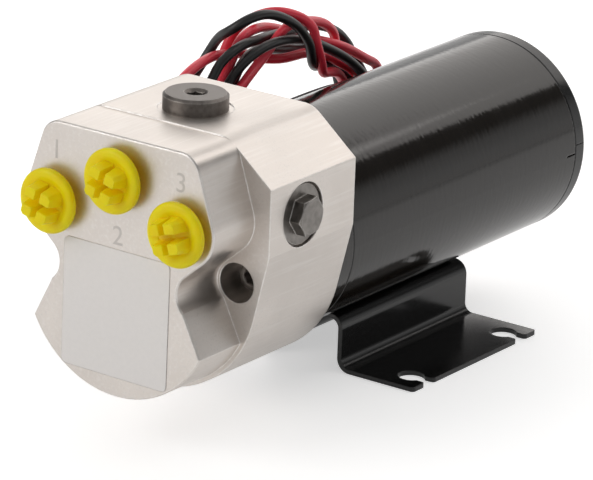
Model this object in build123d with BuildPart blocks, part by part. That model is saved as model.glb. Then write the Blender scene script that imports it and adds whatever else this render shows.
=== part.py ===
from build123d import *
from math import acos, atan2, cos, degrees, hypot, pi, radians, sin, tan
import os

# Reversible electric gear pump on a sheet bracket. Millimetres.
# X runs across the pump, Y from the port face back to the motor's end, Z up.
# The origin is the centre of the four foot slots, on the face that the feet stand on.

os.makedirs("parts", exist_ok=True)

# Main lines along the pump
axis_z = 51.5
face_y = -132.5
nose_depth = 20.0
block_depth = 42.7
step_y = face_y + nose_depth
motor_y = step_y + block_depth
motor_length = 142.3
end_y = motor_y + motor_length
run_gap = 0.03

# Block outline, seen from the ports
top_z = 98.0
block_half = 40.5
block_top_half = 24.3
shoulder_z = 84.8
belt_z = 64.0
block_arc_r = 36.5
block_top_round = 9.0

# Nose outline
nose_top_z = top_z - 0.4
nose_corner_x = 27.4
nose_corner_round = 7.0
nose_arc_r = 35.0
lobe_r = 11.2
lobe_slant = 18.0
waist_r = 7.2
waist_end_angle = 230.0
nose_hip_x = 31.0
nose_hip_round = 3.5
edge_break = 0.4

# Ports, with the cross bore of the check valves behind them
port_x = 23.65
port_z = axis_z + 21.95
return_z = port_z + 11.25
tapped_r = 5.72
port_depth = 14.0
port_mouth_r = 6.7
drilling_r = 2.6
valve_y = step_y + 16.6
valve_z = port_z
spool_bore_r = 4.0
spool_bore_half = 10.0
seat_bore_r = 5.0
seat_bore_half = 18.0
plug_face_r = 10.0
plug_face_depth = 2.2
spot_face_r = 11.5
spot_face_depth = 0.3
top_tap_depth = 12.0

# Body bolts beside the waist
bolt_x = 29.1
bolt_z = axis_z + 2.3
bolt_r = 2.5
bolt_hole_r = 2.75
bolt_face_r = 6.2
bolt_face_depth = 12.0
bolt_head_r = 4.25
bolt_head_height = 5.0
bolt_grip = 9.5

# Gears and their chamber
gear_module = 1.5
teeth = 12
pressure_angle = radians(20)
pitch_r = gear_module * teeth / 2
base_r = pitch_r * cos(pressure_angle)
tip_r = 10.2
root_r = 7.1
tooth_thinning = 0.14
gear_width = 10.0
idler_z = axis_z - 2 * pitch_r
mesh_z = axis_z - pitch_r
tip_gap = 0.06
pocket_length = 22.0
pocket_height = 6.0
journal_r = 4.0
bush_r = 5.0
bush_length = 8.0
slant_r = 1.8
slant_foot_x = 8.6
slant_head_x = 8.0

# Bearing plate
plate_depth = 14.0
plate_r = 26.0
plate_z = axis_z - 6.0
plate_y = motor_y - plate_depth
chamber_y = plate_y - gear_width - 2 * run_gap
plate_screw_ring = 21.0
plate_screw_angles = (35, 145, 215, 325)
plate_screw_r = 2.0
plate_screw_head_r = 3.5
plate_screw_head = 4.0
plate_screw_reach = 8.0
seal_recess_r = 8.0
seal_recess_depth = 5.0
ring_seal_width = 1.6
ring_seal_depth = 1.2

# Motor
motor_r = 33.0
tube_inner_r = 30.5
flange_depth = 12.0
spigot_length = 7.0
end_ring = 5.6
end_spigot = 6.0
tube_y = motor_y + flange_depth
tube_end = end_y - end_ring
spigot_y = tube_y + spigot_length
coupling_pocket_r = 9.5
coupling_pocket_depth = 9.5
bearing_r = 11.0
bearing_width = 7.0
shield_inner_r = 5.9
shield_outer_r = 9.3
shield_depth = 0.5
rear_bush_r = 7.0
rear_bush_length = 8.0
tie_ring = 27.0
tie_r = 2.0
tie_head_r = 3.6
tie_head = 4.0
joint_break = 0.3
core_r = 21.9
core_y = -24.0
core_length = 60.0
commutator_r = 11.0
commutator_y = -47.5
commutator_length = 12.0
magnet_inner_r = 22.6

# Bracket
sheet = 1.5
foot_edge_x = 41.6
foot_half_y = 34.85
wall_x = 14.0
bend_r = 3.0
hat_z = axis_z - motor_r
slot_x = 34.8
slot_y = 26.0
slot_r = 4.25
neck_width = 4.8
neck_round = 1.2
bracket_screw_r = 2.5
bracket_head_r = 4.5
bracket_head = 2.8
bracket_holes = ((0, -18.0), (0, 18.0))

# Leads
lead_r = 1.6
lead_lane_r = 35.4
black_angle = 146.0
red_angle = 153.0
grommet_y = motor_y + 2.6
grommet_length = 9.0
grommet_wall = 1.0
coil_centre = (-39.3, 1.0, 47.0)
coil_length = 130.0
coil_height = 90.8
coil_thick = 11.0
coil_corner_r = 44.0
coil_round = 4.0


def facing(y):
    """Plane across the pump at y, drawn as seen from the ports and growing towards them."""
    return Plane(origin=(0, y, 0), x_dir=(1, 0, 0), z_dir=(0, -1, 0))


def across(x, side=1):
    """Plane along the pump at x, growing outwards on that side."""
    return Plane(origin=(x, 0, 0), x_dir=(0, side, 0), z_dir=(side, 0, 0))


def on_circle(radius, angle, x=0.0, z=axis_z):
    """Point across the pump at an angle above +X on a circle about (x, z)."""
    return (x + radius * cos(radians(angle)), z + radius * sin(radians(angle)))


def save(name, piece):
    """Names a finished piece and writes it."""
    piece.label = name
    export_step(piece, f"parts/{name}.step")


def turned_ring(outer_r, inner_r, y, length, places=((0, axis_z),)):
    """Rings or discs turned about lines along Y, from y back towards the motor's end."""
    with BuildPart() as rings:
        with BuildSketch(facing(y)):
            with Locations(*places):
                Circle(outer_r)
                if inner_r:
                    Circle(inner_r, mode=Mode.SUBTRACT)
        extrude(amount=-length)
    return rings.part


def socket_screws(places, seat_y, head_r, head_height, shank_r, shank_length, socket_width):
    """Cap screws that point to the motor, their heads resting on the face at seat_y."""
    with BuildPart() as screws:
        with BuildSketch(facing(seat_y)):
            with Locations(*places):
                Circle(head_r)
        extrude(amount=head_height)
        chamfer(screws.faces().filter_by(Axis.Y).group_by(Axis.Y)[0].edges(), 0.5)
        with BuildSketch(facing(seat_y)):
            with Locations(*places):
                Circle(shank_r)
        extrude(amount=-shank_length)
        with BuildSketch(facing(seat_y - head_height)):
            with Locations(*places):
                RegularPolygon(socket_width / 2, 6, major_radius=False)
        extrude(amount=-0.6 * head_height, mode=Mode.SUBTRACT)
        with BuildSketch(facing(seat_y - head_height)):
            with Locations(*places):
                Circle(0.6 * socket_width)
        extrude(amount=-0.4, taper=45, mode=Mode.SUBTRACT)
    return screws.part


# Pump body: a milled block of aluminium, its nose cut back round the two bolts


def block_half_outline():
    """Right half of the block: top, chamfer, side, taper and the lower arc."""
    reach = hypot(block_half, belt_z - axis_z)
    start = degrees(atan2(belt_z - axis_z, block_half) - acos(block_arc_r / reach))
    taper_end = on_circle(block_arc_r, start)
    Polyline(
        (0, top_z),
        (block_top_half, top_z),
        (block_half, shoulder_z),
        (block_half, belt_z),
        taper_end,
    )
    ThreePointArc(
        taper_end, on_circle(block_arc_r, (start - 90) / 2), on_circle(block_arc_r, -90)
    )
    Line(on_circle(block_arc_r, -90), (0, top_z))


def nose_half_outline():
    """Right half of the nose: slanting side, port lobe, waist round the bolt, lower disc."""
    side_end = on_circle(lobe_r, lobe_slant, port_x, port_z)
    span = hypot(bolt_x - port_x, bolt_z - port_z)
    lean = degrees(atan2(bolt_z - port_z, bolt_x - port_x))
    turn = lean + degrees(acos((lobe_r + waist_r) / span))
    lobe_middle = on_circle(lobe_r, (lobe_slant + turn) / 2, port_x, port_z)
    lobe_end = on_circle(lobe_r, turn, port_x, port_z)
    waist_start = on_circle(waist_r, turn + 180, bolt_x, bolt_z)
    waist_middle = on_circle(waist_r, (turn + 180 + waist_end_angle) / 2, bolt_x, bolt_z)
    waist_end = on_circle(waist_r, waist_end_angle, bolt_x, bolt_z)
    hip_angle = -degrees(acos(nose_hip_x / nose_arc_r))
    hip = on_circle(nose_arc_r, hip_angle)
    Polyline((0, nose_top_z), (nose_corner_x, nose_top_z), side_end)
    ThreePointArc(side_end, lobe_middle, lobe_end)
    Line(lobe_end, waist_start)
    ThreePointArc(waist_start, waist_middle, waist_end)
    Line(waist_end, hip)
    ThreePointArc(
        hip, on_circle(nose_arc_r, (hip_angle - 90) / 2), on_circle(nose_arc_r, -90)
    )
    Line(on_circle(nose_arc_r, -90), (0, nose_top_z))


ports = ((-port_x, port_z), (port_x, port_z), (0, return_z))
body_bolts = ((-bolt_x, bolt_z), (bolt_x, bolt_z))
plate_screws = [on_circle(plate_screw_ring, a, z=plate_z) for a in plate_screw_angles]
gear_axes = ((0, axis_z), (0, idler_z))

with BuildPart() as pump_body:
    with BuildSketch(facing(motor_y)) as block_section:
        with BuildLine():
            block_half_outline()
        make_face()
        top_corner = block_section.vertices().group_by(Axis.Y)[-1].sort_by(Axis.X)[-1]
        fillet(top_corner, block_top_round)
        mirror(about=Plane.YZ)
    extrude(amount=block_depth)
    with BuildSketch(facing(step_y)) as nose_section:
        with BuildLine():
            nose_half_outline()
        make_face()
        nose_corner = nose_section.vertices().group_by(Axis.Y)[-1].sort_by(Axis.X)[-1]
        hip_corner = nose_section.vertices().filter_by(
            lambda v: abs(v.X - nose_hip_x) < edge_break
        )
        fillet(nose_corner, nose_corner_round)
        fillet(hip_corner, nose_hip_round)
        mirror(about=Plane.YZ)
    extrude(amount=nose_depth)
    chamfer(pump_body.faces().sort_by(Axis.Y)[0].outer_wire().edges(), edge_break)
    # Three ports, tapped, countersunk and drilled through to the valve bore
    with Locations(facing(face_y).location):
        with Locations(*ports):
            CounterSinkHole(tapped_r, port_mouth_r, depth=port_depth, counter_sink_angle=90)
            Hole(drilling_r, depth=valve_y - face_y)
    # Counterbored through holes for the two body bolts
    with Locations(facing(step_y).location):
        with Locations(*body_bolts):
            CounterBoreHole(bolt_hole_r, bolt_face_r, bolt_face_depth, depth=block_depth)
    # The valve bore, stepped outwards from the spool to the plug on each side
    for side in (-1, 1):
        with Locations(Location(across(side * block_half, side).location)):
            with Locations((side * valve_y, valve_z)):
                Hole(spool_bore_r, depth=block_half)
                Hole(seat_bore_r, depth=block_half - spool_bore_half)
                Hole(tapped_r, depth=block_half - seat_bore_half)
                Hole(plug_face_r, depth=plug_face_depth)
    # The upright return drilling, tapped and spot-faced at the top
    with Locations((0, valve_y, top_z)):
        Hole(spool_bore_r, depth=top_z - valve_z)
        Hole(tapped_r, depth=top_tap_depth)
        Hole(spot_face_r, depth=spot_face_depth)
    # Register of the bearing plate, then the gear chamber with its pockets, then the journals
    with Locations(Location((0, motor_y, plate_z), (-90, 0, 0))):
        Hole(plate_r, depth=plate_depth)
    with BuildSketch(facing(plate_y)):
        with Locations(*gear_axes):
            Circle(tip_r + tip_gap)
        with Locations((0, mesh_z)):
            SlotOverall(pocket_length, pocket_height)
    extrude(amount=plate_y - chamber_y, mode=Mode.SUBTRACT)
    with BuildSketch(facing(chamber_y)):
        with Locations(*gear_axes):
            Circle(bush_r)
    extrude(amount=bush_length + 1, mode=Mode.SUBTRACT)
    with BuildSketch(facing(plate_y)):
        with Locations(*plate_screws):
            Circle(plate_screw_r)
    extrude(amount=plate_screw_reach, mode=Mode.SUBTRACT)
    # A slanting drilling from each side of the mesh up to the valve bore
    for side in (-1, 1):
        foot = Vector(side * slant_foot_x, chamber_y, mesh_z)
        head = Vector(side * slant_head_x, valve_y, valve_z)
        with BuildSketch(Plane(origin=foot, z_dir=head - foot)):
            Circle(slant_r)
        extrude(amount=(head - foot).length, mode=Mode.SUBTRACT)
save("pump_body", pump_body.part)

# Bearing plate: a turned disc that closes the gear chamber and carries the rear journals

with BuildPart() as bearing_plate:
    with BuildSketch(facing(motor_y)):
        with Locations((0, plate_z)):
            Circle(plate_r)
    extrude(amount=plate_depth)
    with Locations(Location((0, motor_y, axis_z), (-90, 0, 0))):
        CounterBoreHole(bush_r, seal_recess_r, seal_recess_depth, depth=plate_depth)
    with Locations(Location((0, plate_y, idler_z), (90, 0, 0))):
        Hole(bush_r, depth=bush_length)
    for x, z in plate_screws:
        with Locations(Location((x, motor_y, z), (-90, 0, 0))):
            CounterBoreHole(
                plate_screw_r, plate_screw_head_r, plate_screw_head, depth=plate_depth
            )
    with BuildSketch(facing(plate_y)) as seal_groove:
        with Locations((0, mesh_z)):
            SlotCenterToCenter(2 * pitch_r, 2 * (tip_r + 3.4), rotation=90)
            SlotCenterToCenter(
                2 * pitch_r, 2 * (tip_r + 3.4 - ring_seal_width), rotation=90, mode=Mode.SUBTRACT
            )
    extrude(amount=-ring_seal_depth, mode=Mode.SUBTRACT)
save("bearing_plate", bearing_plate.part)

with BuildPart() as chamber_seal:
    extrude(seal_groove.sketch, amount=-ring_seal_depth)
save("chamber_seal", chamber_seal.part)

with BuildPart() as plate_screw_set:
    with BuildSketch(facing(plate_y - plate_screw_reach)):
        with Locations(*plate_screws):
            Circle(plate_screw_r)
    extrude(amount=-(plate_screw_reach + plate_depth - plate_screw_head))
    with BuildSketch(facing(motor_y)):
        with Locations(*plate_screws):
            Circle(plate_screw_head_r)
    extrude(amount=plate_screw_head)
    with BuildSketch(facing(motor_y)):
        with Locations(*plate_screws):
            RegularPolygon(1.5, 6, major_radius=False)
    extrude(amount=2.4, mode=Mode.SUBTRACT)
save("plate_screws", plate_screw_set.part)

# Gears: spur gears milled in one with their shafts


def tooth_angle(radius):
    """Angle that an involute has turned through when it reaches this radius."""
    pressure = acos(base_r / radius)
    return tan(pressure) - pressure


def gear_outline(first_tooth):
    """Outline of a whole gear, its first tooth centred at that angle."""
    half_tooth = pi / (2 * teeth) - tooth_thinning / (2 * pitch_r) + tooth_angle(pitch_r)
    radii = [base_r + (tip_r - base_r) * step / 4 for step in range(5)]

    def at(radius, angle):
        return (radius * cos(angle), radius * sin(angle))

    for tooth in range(teeth):
        middle = first_tooth + 2 * pi * tooth / teeth
        gap = middle + pi / teeth
        rise = [at(r, middle - half_tooth + tooth_angle(r)) for r in radii]
        fall = [at(r, middle + half_tooth - tooth_angle(r)) for r in reversed(radii)]
        foot = at(root_r, middle + half_tooth)
        next_foot = at(root_r, middle + 2 * pi / teeth - half_tooth)
        Line(at(root_r, middle - half_tooth), rise[0])
        Spline(*rise)
        ThreePointArc(rise[-1], at(tip_r, middle), fall[0])
        Spline(*fall)
        Line(fall[-1], foot)
        ThreePointArc(foot, at(root_r, gap), next_foot)


def gear_with_shaft(z, first_tooth, rear_length):
    """A gear between its front and rear journals."""
    gear_y = chamber_y + run_gap
    with BuildPart() as gear:
        with BuildSketch(Plane(origin=(0, gear_y, z), x_dir=(1, 0, 0), z_dir=(0, -1, 0))):
            with BuildLine():
                gear_outline(first_tooth)
            make_face()
        extrude(amount=-gear_width)
        with BuildSketch(facing(chamber_y - bush_length)):
            with Locations((0, z)):
                Circle(journal_r - run_gap)
        extrude(amount=-(bush_length + 2 * run_gap + gear_width + rear_length))
    return gear


tang_thick = 3.0
tang_gap = 0.05
tang_length = 4.0
coupling_y = motor_y + 0.3
coupling_length = 8.7
coupling_r = 8.0
lip_groove = (2.6, 1.6)

drive = gear_with_shaft(axis_z, -pi / 2, plate_depth)
with BuildPart() as drive_gear:
    add(drive.part)
    with BuildSketch(facing(motor_y)):
        with Locations((0, axis_z)):
            Rectangle(2 * journal_r - 1, tang_thick)
    extrude(amount=-tang_length)
save("drive_gear", drive_gear.part)
save("idler_gear", gear_with_shaft(idler_z, pi / 2 + pi / teeth, bush_length - 0.5).part)

# Bushes and the lip seal of the drive shaft
save("front_bushes", turned_ring(bush_r, journal_r, chamber_y - bush_length, bush_length, gear_axes))
save("rear_bushes", turned_ring(bush_r, journal_r, plate_y, bush_length, gear_axes))

with BuildPart() as shaft_seal:
    with BuildSketch(Plane.YZ):
        with Locations((motor_y - seal_recess_depth / 2, axis_z + (seal_recess_r + journal_r) / 2)):
            Rectangle(seal_recess_depth, seal_recess_r - journal_r)
        with Locations((motor_y - 1.0, axis_z + 5.4)):
            Rectangle(*lip_groove, mode=Mode.SUBTRACT)
    revolve(axis=Axis((0, 0, axis_z), (0, 1, 0)))
save("shaft_seal", shaft_seal.part)

# Shaft coupling: a short sleeve with a slot across each end, the two at right angles
with BuildPart() as shaft_coupling:
    with BuildSketch(facing(coupling_y)):
        with Locations((0, axis_z)):
            Circle(coupling_r)
    extrude(amount=-coupling_length)
    chamfer(shaft_coupling.edges().filter_by(GeomType.CIRCLE), 0.5)
    with BuildSketch(facing(coupling_y)):
        with Locations((0, axis_z)):
            Rectangle(2 * coupling_r + 1, tang_thick + tang_gap)
    extrude(amount=-tang_length, mode=Mode.SUBTRACT)
    with BuildSketch(facing(coupling_y + coupling_length)):
        with Locations((0, axis_z)):
            Rectangle(tang_thick + tang_gap, 2 * coupling_r + 1)
    extrude(amount=tang_length, mode=Mode.SUBTRACT)
save("shaft_coupling", shaft_coupling.part)

# Check valves: a pilot spool in the middle, then on each side a seat, a poppet and a spring
spool_r = spool_bore_r - run_gap
spool_land = (2.2, 5.8)
spool_waist_r = 2.2
pin_r = 1.2
pin_end = 13.2
seat_length = 6.0
orifice_r = 2.2
poppet_tip_r = 1.0
poppet_r = 3.6
poppet_body = 2.2
poppet_stem_r = 1.5
poppet_stem = 3.5
poppet_x = spool_bore_half + seat_length - (orifice_r - poppet_tip_r - run_gap)
poppet_shoulder = poppet_x + poppet_r - poppet_tip_r + poppet_body
plug_thread = 9.0
plug_x = block_half - plug_face_depth - plug_thread
thread_lead = 0.6
plug_seal_r = 7.4
plug_seal_depth = 0.7
collar_thick = 1.6
collar_bevel = 0.3
hexagon_width = 10.8
hexagon_height = 4.0
hexagon_face_r = 5.2
spring_r = 2.5
spring_wire_r = 0.35
spring_turns = 5

with BuildPart() as pilot_spool:
    with BuildSketch(Plane.XZ.offset(-valve_y)) as half_section:
        with BuildLine():
            Polyline(
                (0, valve_z),
                (0, valve_z + spool_waist_r),
                (spool_land[0], valve_z + spool_waist_r),
                (spool_land[0], valve_z + spool_r),
                (spool_land[1], valve_z + spool_r),
                (spool_land[1], valve_z + pin_r),
                (pin_end, valve_z + pin_r),
                (pin_end, valve_z),
                close=True,
            )
        make_face()
        mirror(about=Plane.YZ)
    revolve(axis=Axis((0, valve_y, valve_z), (1, 0, 0)))
save("pilot_spool", pilot_spool.part)


def valve_disc(side, profile):
    """A piece turned about the valve bore, from points of distance from centre and radius."""
    with BuildPart() as disc:
        with BuildSketch(Plane.XZ.offset(-valve_y)):
            with BuildLine():
                Polyline(*[(side * x, valve_z + r) for x, r in profile], close=True)
            make_face()
        revolve(axis=Axis((0, valve_y, valve_z), (1, 0, 0)))
    return disc.part


def hexagon_plug(side):
    """Side plug with its collar in the counterbore and a hexagon to turn it by."""
    collar_x = block_half - plug_face_depth
    collar_r = plug_face_r - 0.45
    hexagon_x = collar_x + collar_thick
    rim = side * (hexagon_x + hexagon_height)
    profile = (
        (plug_x, 0),
        (plug_x, tapped_r - thread_lead),
        (plug_x + thread_lead, tapped_r),
        (collar_x + plug_seal_depth, tapped_r),
        (collar_x + plug_seal_depth, plug_seal_r),
        (collar_x, plug_seal_r),
        (collar_x, collar_r),
        (hexagon_x - collar_bevel, collar_r),
        (hexagon_x, collar_r - collar_bevel),
        (hexagon_x, 0),
    )
    with BuildPart() as plug:
        add(valve_disc(side, profile))
        with BuildSketch(across(side * hexagon_x, side)):
            with Locations((side * valve_y, valve_z)):
                RegularPolygon(hexagon_width / 2, 6, major_radius=False, rotation=side * 7)
        extrude(amount=hexagon_height)
        with BuildSketch(Plane.XZ.offset(-valve_y)):
            with BuildLine():
                Polyline(
                    (rim, valve_z + hexagon_face_r),
                    (rim, valve_z + collar_r),
                    (rim - side * (collar_r - hexagon_face_r) / 2, valve_z + collar_r),
                    close=True,
                )
            make_face()
        revolve(axis=Axis((0, valve_y, valve_z), (1, 0, 0)), mode=Mode.SUBTRACT)
    return plug.part


seat_profile = (
    (spool_bore_half, orifice_r),
    (spool_bore_half, seat_bore_r),
    (spool_bore_half + seat_length, seat_bore_r),
    (spool_bore_half + seat_length, orifice_r),
)
poppet_profile = (
    (poppet_x, 0),
    (poppet_x, poppet_tip_r),
    (poppet_x + poppet_r - poppet_tip_r, poppet_r),
    (poppet_shoulder, poppet_r),
    (poppet_shoulder, poppet_stem_r),
    (poppet_shoulder + poppet_stem, poppet_stem_r),
    (poppet_shoulder + poppet_stem, 0),
)
seal_profile = (
    (block_half - plug_face_depth, tapped_r),
    (block_half - plug_face_depth, plug_seal_r),
    (block_half - plug_face_depth + plug_seal_depth, plug_seal_r),
    (block_half - plug_face_depth + plug_seal_depth, tapped_r),
)
for side, word in ((-1, "left"), (1, "right")):
    save(f"valve_seat_{word}", valve_disc(side, seat_profile))
    save(f"check_poppet_{word}", valve_disc(side, poppet_profile))
    save(f"side_plug_{word}", hexagon_plug(side))
    save(f"side_plug_seal_{word}", valve_disc(side, seal_profile))
    spring_start = poppet_shoulder + spring_wire_r + run_gap
    spring_height = plug_x - spring_wire_r - spring_start
    with BuildPart() as poppet_spring:
        with BuildLine() as coils:
            Helix(
                pitch=spring_height / spring_turns,
                height=spring_height,
                radius=spring_r,
                center=(side * spring_start, valve_y, valve_z),
                direction=(side, 0, 0),
            )
        with BuildSketch(coils.line ^ 0):
            Circle(spring_wire_r)
        sweep()
    save(f"poppet_spring_{word}", poppet_spring.part)

# Top plug: a turned and phosphated socket plug on its sealing ring
plug_head_r = 10.0
plug_head = 5.2
plug_bevel = 0.8
top_seal_r = 7.6
top_seal_depth = 0.8
socket_mouth_r = 3.7
socket_cone = 1.0
socket_width = 5.2
socket_depth = 3.6
plug_seat_z = top_z - spot_face_depth
with BuildPart() as top_plug:
    with BuildSketch(Plane.XY.offset(plug_seat_z)):
        with Locations((0, valve_y)):
            Circle(plug_head_r)
    extrude(amount=plug_head)
    chamfer(top_plug.faces().sort_by(Axis.Z)[-1].edges(), plug_bevel)
    with BuildSketch(Plane.XY.offset(plug_seat_z)):
        with Locations((0, valve_y)):
            Circle(tapped_r)
    extrude(amount=-(top_tap_depth - 2))
    with BuildSketch(Plane.XY.offset(plug_seat_z)) as top_seal_ring:
        with Locations((0, valve_y)):
            Circle(top_seal_r)
            Circle(tapped_r, mode=Mode.SUBTRACT)
    extrude(amount=top_seal_depth, mode=Mode.SUBTRACT)
    with BuildSketch(Plane.XY.offset(plug_seat_z + plug_head)):
        with Locations((0, valve_y)):
            Circle(socket_mouth_r)
    extrude(amount=-socket_cone, taper=45, mode=Mode.SUBTRACT)
    with BuildSketch(Plane.XY.offset(plug_seat_z + plug_head)):
        with Locations((0, valve_y)):
            RegularPolygon(socket_width / 2, 6, major_radius=False, rotation=8)
    extrude(amount=-socket_depth, mode=Mode.SUBTRACT)
save("top_plug", top_plug.part)

with BuildPart() as top_plug_seal:
    extrude(top_seal_ring.sketch, amount=top_seal_depth)
save("top_plug_seal", top_plug_seal.part)

# Body bolts: long cap screws through the block into the motor's front bell
bolt_seat_y = step_y + bolt_face_depth
bolt_length = motor_y + bolt_grip - bolt_seat_y
for place, word in zip(body_bolts, ("left", "right")):
    bolt = socket_screws(
        (place,), bolt_seat_y, bolt_head_r, bolt_head_height, bolt_r, bolt_length, 4.6
    )
    save(f"body_bolt_{word}", bolt)

# Port caps: moulded plastic, a dished flange with a slotted boss for the fingers
cap_gap = 2.4
cap_r = 10.0
cap_rim = 2.4
cap_dish = 0.9
cap_crest = 1.7
boss_width = 11.0
boss_corner = 1.4
boss_height = 5.6
boss_taper = 9
finger_slot = 2.8
cross_slot = 2.1
slot_taper = 5
cap_shank = 7.0
cap_corner = 0.8
caps = (
    ("port_cap_b", (-port_x, port_z), -14),
    ("port_cap_r", (0, return_z), -16),
    ("port_cap_a", (port_x, port_z), 17),
)
for name, (x, z), turn in caps:
    back = face_y - cap_gap
    dish_y = back - cap_rim + cap_dish
    with BuildPart() as port_cap:
        with BuildSketch(Plane.YZ.offset(x)):
            with BuildLine():
                Polyline(
                    (face_y + cap_shank, z),
                    (face_y + cap_shank, z + tapped_r - cap_corner),
                    (face_y + cap_shank - cap_corner, z + tapped_r),
                    (back, z + tapped_r),
                    (back, z + cap_r - 0.3),
                    (back - 0.3, z + cap_r),
                    (back - cap_corner, z + cap_r),
                )
                Spline(
                    (back - cap_corner, z + cap_r),
                    (back - cap_rim, z + cap_r - cap_crest),
                    (dish_y, z + boss_width / 2),
                    tangents=((-1, 0.1), (0.5, -1)),
                )
                Polyline(
                    (dish_y, z + boss_width / 2),
                    (dish_y, z),
                    (face_y + cap_shank, z),
                )
            make_face()
        revolve(axis=Axis((x, 0, z), (0, 1, 0)))
        with BuildSketch(facing(dish_y)) as boss:
            with Locations(Location((x, z, 0), (0, 0, turn))):
                Rectangle(boss_width, boss_width)
            chamfer(boss.vertices(), boss_corner)
        extrude(amount=boss_height, taper=boss_taper)
        with BuildSketch(facing(dish_y - boss_height)):
            with Locations(Location((x, z, 0), (0, 0, turn))):
                Rectangle(boss_width + 2, finger_slot)
                Rectangle(cross_slot, boss_width + 2)
        extrude(amount=-boss_height, taper=slot_taper, mode=Mode.SUBTRACT)
    save(name, port_cap.part)

# Label: a rounded sticker on the lower face of the nose
label_thick = 0.15
label_width = 39.3
label_height = 40.2
label_corner = 1.9
label_place = Location((-0.3, axis_z - 8.8, 0), (0, 0, -0.6))
with BuildPart() as rating_label:
    with BuildSketch(facing(face_y)):
        with Locations(label_place):
            RectangleRounded(label_width, label_height, label_corner)
    extrude(amount=label_thick)
save("rating_label", rating_label.part)

# Motor front bell: an aluminium flange that carries the pump, the bearing and the coupling
tie_bolts = ((0, axis_z + tie_ring), (0, axis_z - tie_ring))
grommet_angle = (black_angle + red_angle) / 2
grommet_middle = grommet_y + grommet_length / 2
outward = Vector(cos(radians(grommet_angle)), 0, sin(radians(grommet_angle)))
neck_r = 3.0
neck_foot = 20.0
with BuildPart() as motor_front_bell:
    with BuildSketch(facing(motor_y)):
        with Locations((0, axis_z)):
            Circle(motor_r)
    extrude(amount=-flange_depth)
    chamfer(motor_front_bell.edges().group_by(Axis.Y)[-1], joint_break)
    with BuildSketch(facing(tube_y)):
        with Locations((0, axis_z)):
            Circle(tube_inner_r)
    extrude(amount=-spigot_length)
    with Locations(Location((0, motor_y, axis_z), (90, 0, 0))):
        CounterBoreHole(
            5.2, coupling_pocket_r, coupling_pocket_depth, depth=flange_depth + spigot_length
        )
    with Locations(Location((0, spigot_y, axis_z), (-90, 0, 0))):
        Hole(bearing_r, depth=bearing_width)
    for x, z in body_bolts:
        with Locations(Location((x, motor_y, z), (90, 0, 0))):
            Hole(bolt_r, depth=bolt_grip + 1)
    for x, z in tie_bolts:
        with Locations(Location((x, spigot_y, z), (-90, 0, 0))):
            Hole(tie_r, depth=11.0)
    # The leads' way out: a drilling from the back meets one from the shoulder
    neck_start = Vector(0, grommet_middle, axis_z) + outward * neck_foot
    with BuildSketch(Plane(origin=neck_start, z_dir=outward)):
        Circle(neck_r)
    extrude(amount=motor_r - neck_foot + 1, mode=Mode.SUBTRACT)
    neck_x, neck_z = on_circle(neck_foot + neck_r, grommet_angle)
    with Locations(Location((neck_x, spigot_y, neck_z), (-90, 0, 0))):
        Hole(neck_r, depth=spigot_y - grommet_middle)
save("motor_front_bell", motor_front_bell.part)

# Motor tube: rolled steel, with a locating nick at its end
with BuildPart() as motor_tube:
    with BuildSketch(facing(tube_y)):
        with Locations((0, axis_z)):
            Circle(motor_r)
            Circle(tube_inner_r, mode=Mode.SUBTRACT)
    extrude(amount=-(tube_end - tube_y))
    chamfer(motor_tube.edges().filter_by(GeomType.CIRCLE).sort_by(SortBy.RADIUS)[-2:], joint_break)
    with BuildSketch(Plane.XY.offset(hat_z - 1)):
        with Locations(*bracket_holes):
            Circle(bracket_screw_r)
    extrude(amount=6, mode=Mode.SUBTRACT)
    with BuildSketch(across(motor_r - 1.0)):
        with Locations((tube_end - 2.5, axis_z - 0.2)):
            Rectangle(5.0, 0.6)
    extrude(amount=2, mode=Mode.SUBTRACT)
save("motor_tube", motor_tube.part)

# Motor end cap: flush ring, spigot in the tube, pocket of the rear bush, sunk tie bolt heads
with BuildPart() as motor_end_cap:
    with BuildSketch(facing(tube_end)):
        with Locations((0, axis_z)):
            Circle(motor_r)
    extrude(amount=-end_ring)
    fillet(motor_end_cap.edges().group_by(Axis.Y)[-1], 1.0)
    chamfer(motor_end_cap.edges().group_by(Axis.Y)[0], joint_break)
    with BuildSketch(facing(tube_end)):
        with Locations((0, axis_z)):
            Circle(tube_inner_r)
    extrude(amount=end_spigot)
    with Locations(Location((0, tube_end - end_spigot, axis_z), (90, 0, 0))):
        Hole(rear_bush_r, depth=rear_bush_length)
    for x, z in tie_bolts:
        with Locations(Location((x, end_y, z), (-90, 0, 0))):
            CounterBoreHole(
                tie_r + 0.15, tie_head_r + 0.4, tie_head + 0.4, depth=end_ring + end_spigot
            )
    with BuildSketch(across(motor_r - 0.35)):
        with Locations((end_y - end_ring / 2, axis_z + 2.6)):
            Rectangle(end_ring, 0.35)
    extrude(amount=1, mode=Mode.SUBTRACT)
save("motor_end_cap", motor_end_cap.part)

tie_seat_y = end_y - tie_head - 0.4
with BuildPart() as tie_bolt_set:
    with BuildSketch(facing(spigot_y - 10.0)):
        with Locations(*tie_bolts):
            Circle(tie_r)
    extrude(amount=-(tie_seat_y - spigot_y + 10.0))
    with BuildSketch(facing(tie_seat_y)):
        with Locations(*tie_bolts):
            RegularPolygon(tie_head_r, 6)
    extrude(amount=-tie_head)
save("tie_bolts", tie_bolt_set.part)

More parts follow.
